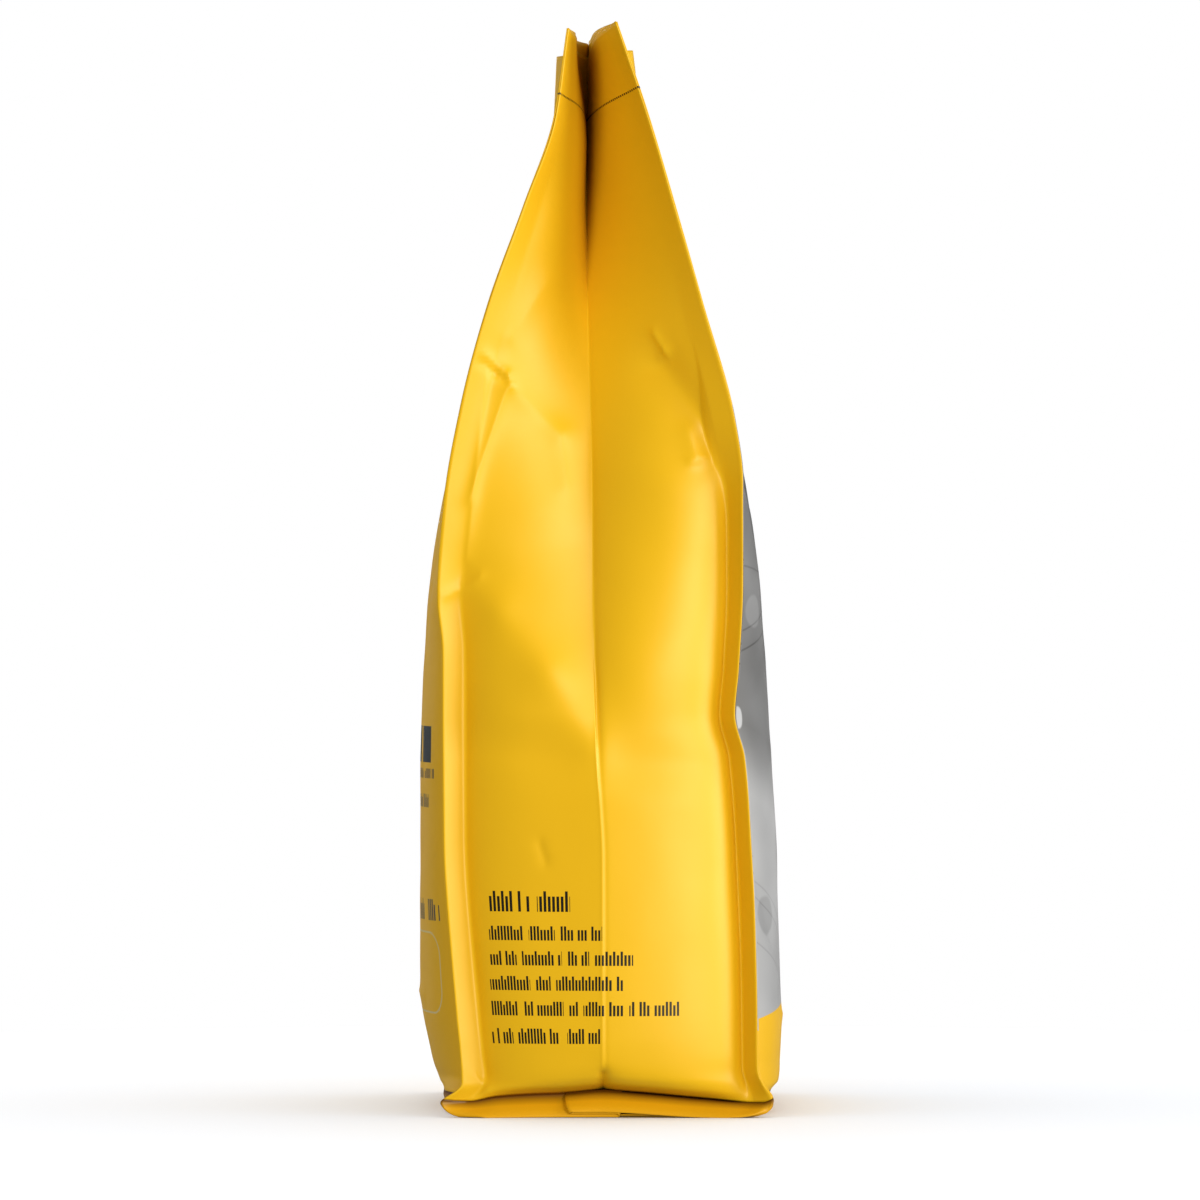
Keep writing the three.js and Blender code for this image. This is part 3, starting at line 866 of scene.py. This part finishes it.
field_slope = 0.35
field_top = 214.0
field_foot = 34.0
field_foot_arch = 0.0016
back_print = (226.0, 229.4, 1.3, 902.0, ((24, 50), (53, 66), (69, 88), (91, 112)))


def print_back(printing):
    """A broad field of soft greys, like a picture out of focus, with yellow left above and below it."""
    slope = printing.math("MULTIPLY", printing.across, field_slope)
    height = printing.math("ADD", printing.up, slope)
    light = printing.math("MULTIPLY_ADD", height, -0.045, 5.6, clamped=True)
    drift = printing.node("ShaderNodeTexNoise")
    drift.inputs["Scale"].default_value = drift_scale
    drift.inputs["Detail"].default_value = 1.5
    printing.tree.links.new(printing.film, drift.inputs["Vector"])
    shade = printing.math("MULTIPLY_ADD", drift.outputs["Fac"], drift_strength, darkest_shade)
    shade = printing.math("MULTIPLY_ADD", light, light_lower_down, shade)
    for middle, size, change in soft_ovals:
        soft = printing.math("MULTIPLY_ADD", printing.from_oval(middle, size), -6.0, 6.4, clamped=True)
        shade = printing.math("MULTIPLY_ADD", soft, change, shade)
    for start, slant in thin_lines:
        leaning = printing.math("MULTIPLY_ADD", printing.across, slant, printing.up)
        at_start = start + thin_line_start * slant
        line = printing.math("COMPARE", leaning, at_start, thin_line_half_width)
        shade = printing.math("MULTIPLY_ADD", line, -thin_line_darker, shade)
    grey = printing.node("ShaderNodeCombineColor")
    for channel in ("Red", "Green", "Blue"):
        printing.tree.links.new(shade, grey.inputs[channel])
    from_middle = printing.math("ABSOLUTE", printing.math("SUBTRACT", printing.across, panel_middle))
    squared = printing.math("POWER", from_middle, 2.0)
    lower = printing.math("MULTIPLY_ADD", squared, -field_foot_arch, field_foot)
    above = printing.math("GREATER_THAN", printing.up, lower)
    below = printing.math("LESS_THAN", printing.up, field_top)
    printing.fill(printing.math("MULTIPLY", above, below), grey.outputs["Color"])
    low, high, pitch, seed, groups = back_print
    printing.fill(printing.row_of_strokes(groups, low, high, pitch, seed), ink)
    printing.tear_line()


panel_films = {
    "front": film_material("front film", print_front),
    "back": film_material("back film", print_back),
}
for half in ("front", "back"):
    def place(width, height, half=half):
        if half == "back":
            width = panel_width - width
        return panel_point(half, width, height)

    panel = film_sheet(half + "_panel", panel_widths, panel_heights, place)
    panel.data.materials.append(panel_films[half])
    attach(panel, "root")
    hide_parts("coffee_bag")


# The bottom.
# Below the seam all round, the film of the sides and of the bottom panel is welded into a short skirt, which
# flares out to the floor, with painted shade along the seam. Under each gusset it is laid in one flat pleat.
# Painted shade: the bottom film is a darker, more orange copy of the film yellow, for the shade under the
# belly, and the brown laid along the seam is painted shade too.
shaded_skirt_yellow = (0.68, 0.32, 0.003)
seam_shade_brown = (0.1, 0.03, 0.001)
seam_shade_grows = 0.34
seam_shade_from = -1.25


def paint_bottom_shade(printing):
    """Painted shade: the film turns dark brown along the seam, where the belly shades it, and clears lower on
    the skirt.
    """
    near_seam = printing.math("MULTIPLY_ADD", printing.up, seam_shade_grows, seam_shade_from, clamped=True)
    printing.fill(near_seam, seam_shade_brown)


bottom_film = film_material("bottom film", paint_bottom_shade, shaded_skirt_yellow)
skirt_flare = 4.4
panel_skirt_flare = 1.6
skirt_heights = steps((0.0, seam_height, 12))
pleat_right = 57.4
pleat_left = 40.2
pleat_turn = 0.3
layer_gap = 0.45
foot_gap = 0.15
middle_layer_raised = 0.95
top_layer_raised = 1.5
top_layer_down_at = 34.0


def pleat_columns():
    """The skirt below a gusset from edge to edge, as (width of film, layer): out, back, and on again."""
    turn = [k / 6 for k in range(1, 6)]
    columns = [(w, 0.0) for w in steps((0.0, 10.0, 16), (10.0, pleat_right, 36))]
    columns += [(pleat_right + pleat_turn * math.sin(math.pi * t), t) for t in turn]
    columns += [(w, 1.0) for w in steps((pleat_right, pleat_left, 14))]
    columns += [(pleat_left - pleat_turn * math.sin(math.pi * t), 1.0 + t) for t in turn]
    last = 2 * gusset_half_width
    columns += [(w, 2.0) for w in steps((pleat_left, last - 10.0, 42), (last - 10.0, last, 16))]
    return columns


def gusset_skirt_point(end, width, height, layer):
    here = gusset_line(end, height, width)
    across_here = here.y if end == "near" else -here.y
    from_edge = min(width, 2 * gusset_half_width - width)
    lowered = 1 - height / seam_height
    out = skirt_flare * min(1.0, from_edge / fin_width) * smoothstep(0.0, 1.0, lowered)
    layers = layer_gap * layer + layer_gap * max(0.0, layer - 1.0)
    out += layers * smoothstep(0.0, 0.15, lowered) * smoothstep(0, 4, from_edge)
    raised = foot_gap + middle_layer_raised * min(layer, 1.0) * (1 - smoothstep(1.0, 2.0, layer))
    top_layer = smoothstep(1.0, 2.0, layer)
    raised += top_layer_raised * top_layer * (1 - smoothstep(0.0, top_layer_down_at, across_here))
    z = mix(raised, seam_line(across_here), height / seam_height)
    direction = 1 if end == "near" else -1
    return Vector((direction * (fin_tip_along(height) - here.x + out), here.y, z))


def panel_skirt_point(half, width, height):
    side = -1 if half == "front" else 1
    here = panel_line(half, height, width)
    from_edge = min(width, panel_width - width)
    lowered = 1 - height / seam_height
    out = panel_skirt_flare * min(1.0, from_edge / 14.0) * smoothstep(0.0, 1.0, lowered)
    top = panel_point(half, width, seam_height).z
    return Vector((here.x, here.y + side * out, mix(foot_gap, top, height / seam_height)))


columns = pleat_columns()
for end in ("near", "far"):
    def place(column, height, end=end):
        width, layer = columns[round(column)]
        if end == "far":
            width, layer = columns[len(columns) - 1 - round(column)]
        return gusset_skirt_point(end, width, height, layer)

    skirt = film_sheet(end + "_skirt", [float(k) for k in range(len(columns))], skirt_heights, place)
    skirt.data.materials.append(bottom_film)
    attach(skirt, "root")
    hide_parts("coffee_bag")
for half in ("front", "back"):
    def place(width, height, half=half):
        if half == "back":
            width = panel_width - width
        return panel_skirt_point(half, width, height)

    skirt = film_sheet(half + "_skirt", panel_widths, skirt_heights, place)
    skirt.data.materials.append(bottom_film)
    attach(skirt, "root")
    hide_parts("coffee_bag")


def across_line(points, value, axis):
    """Where a line of points, read along one axis, stands on the other."""
    points = sorted(points, key=lambda point: point[axis])
    for p, q in zip(points, points[1:]):
        if q[axis] >= value:
            t = clamp((value - p[axis]) / max(q[axis] - p[axis], 1e-6))
            return mix(p[1 - axis], q[1 - axis], t)
    return points[-1][1 - axis]


skirt_feet = {}
for end in ("near", "far"):
    widths = steps((0.0, 2 * gusset_half_width, 60))
    skirt_feet[end] = [gusset_skirt_point(end, width, 0.0, 0.0).xy for width in widths]
for half in ("front", "back"):
    widths = steps((0.0, panel_width, 60))
    skirt_feet[half] = [panel_skirt_point(half, width, 0.0).xy for width in widths]
bottom_half_length = 67.0
bottom_inset = 0.7
bottom_raised = 0.12
bottom_border_rise = 0.5
bottom_swell = 0.25
bottom_swell_size = 30.0
bottom_swell_seed = 4.4


def bottom_point(u, v):
    """A point of the bottom panel, at shares of its length and depth, a little inside the skirt's foot."""
    x = mix(-bottom_half_length, bottom_half_length, u)
    y = mix(across_line(skirt_feet["front"], x, 0), across_line(skirt_feet["back"], x, 0), v)
    x = mix(across_line(skirt_feet["far"], y, 1), across_line(skirt_feet["near"], y, 1), u)
    inwards = Vector((x, y)).normalized() * bottom_inset
    border = smoothstep(0.9, 1.0, 2 * max(abs(u - 0.5), abs(v - 0.5)))
    unevenness = bottom_swell * (1 + swell(x, y, 0, bottom_swell_size, bottom_swell_seed))
    z = bottom_raised + bottom_border_rise * border + unevenness * (1 - border)
    return Vector((x - inwards.x, y - inwards.y, z))


bottom = film_sheet("bottom_panel", steps((0.0, 1.0, 60)), steps((1.0, 0.0, 40)), bottom_point)
bottom.data.materials.append(bottom_film)
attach(bottom, "root")
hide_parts("coffee_bag")


# The studio: three soft lights low on the camera's side, the strongest from the right, two from behind for
# the far sides, and a white floor with a light of its own from above, which leaves a soft shadow round it.
camera_distance = 2.65
lens_on_square_frame = 265.0
camera_height = 0.1554

bm = bmesh.new()
bmesh.ops.create_circle(bm, cap_ends=True, segments=96, radius=0.5)
mesh = bpy.data.meshes.new("floor")
bm.to_mesh(mesh)
bm.free()
floor = bpy.data.objects.new("floor", mesh)
bpy.context.scene.collection.objects.link(floor)
paper = bpy.data.materials.new("floor")
paper.use_nodes = True
paper.node_tree.nodes["Principled BSDF"].inputs["Base Color"].default_value = (0.88, 0.9, 0.93, 1)
paper.node_tree.nodes["Principled BSDF"].inputs["Roughness"].default_value = 0.9
floor.data.materials.append(paper)
floor.visible_diffuse = False
floor.visible_glossy = False

world = bpy.data.worlds.new("studio")
world.use_nodes = True
nodes, links = world.node_tree.nodes, world.node_tree.links
room = nodes["Background"]
room.inputs["Color"].default_value = (1, 1, 1, 1)
room.inputs["Strength"].default_value = 0.18
backdrop = nodes.new("ShaderNodeBackground")
backdrop.inputs["Color"].default_value = (1, 1, 1, 1)
seen = nodes.new("ShaderNodeLightPath")
both = nodes.new("ShaderNodeMixShader")
links.new(seen.outputs["Is Camera Ray"], both.inputs["Fac"])
links.new(room.outputs["Background"], both.inputs[1])
links.new(backdrop.outputs["Background"], both.inputs[2])
links.new(both.outputs["Shader"], nodes["World Output"].inputs["Surface"])
bpy.context.scene.world = world


def studio_light(name, azimuth, elevation, strength, spread, lit):
    """A far light on the given pieces. Its azimuth is counted from the camera towards the back panel."""
    lamp = bpy.data.lights.new(name, "SUN")
    lamp.energy = strength
    lamp.angle = math.radians(spread)
    light = bpy.data.objects.new(name, lamp)
    bpy.context.scene.collection.objects.link(light)
    a, e = math.radians(azimuth), math.radians(elevation)
    towards = Vector((math.cos(e) * math.cos(a), math.cos(e) * math.sin(a), math.sin(e)))
    light.rotation_euler = towards.to_track_quat("Z", "Y").to_euler()
    light.light_linking.receiver_collection = bpy.data.collections.new(name + " light")
    for piece in lit:
        light.light_linking.receiver_collection.objects.link(piece)
    return light


bag = [piece for piece in bpy.context.scene.objects if piece.type == "MESH" and piece != floor]
studio_light("side", 77, 8, 2.55, 34, bag)
studio_light("front right", 36, 8, 1.85, 26, bag)
studio_light("front left", -22, 8, 1.55, 20, bag).visible_glossy = False
studio_light("rear", 176, 10, 2.0, 50, bag).visible_glossy = False
studio_light("rear left", -152, 10, 2.3, 30, bag).visible_glossy = False
studio_light("floor", 0, 90, 3.2, 140, [floor])

camera = bpy.data.cameras.new("camera")
camera.lens = lens_on_square_frame
camera.sensor_width = 36.0
camera.clip_end = 100
view = bpy.data.objects.new("camera", camera)
bpy.context.scene.collection.objects.link(view)
view.location = (panel_width / 2000 + camera_distance, 0, camera_height)
view.rotation_euler = (math.radians(90), 0, math.radians(90))
bpy.context.scene.camera = view
bpy.context.scene.view_settings.view_transform = "Standard"
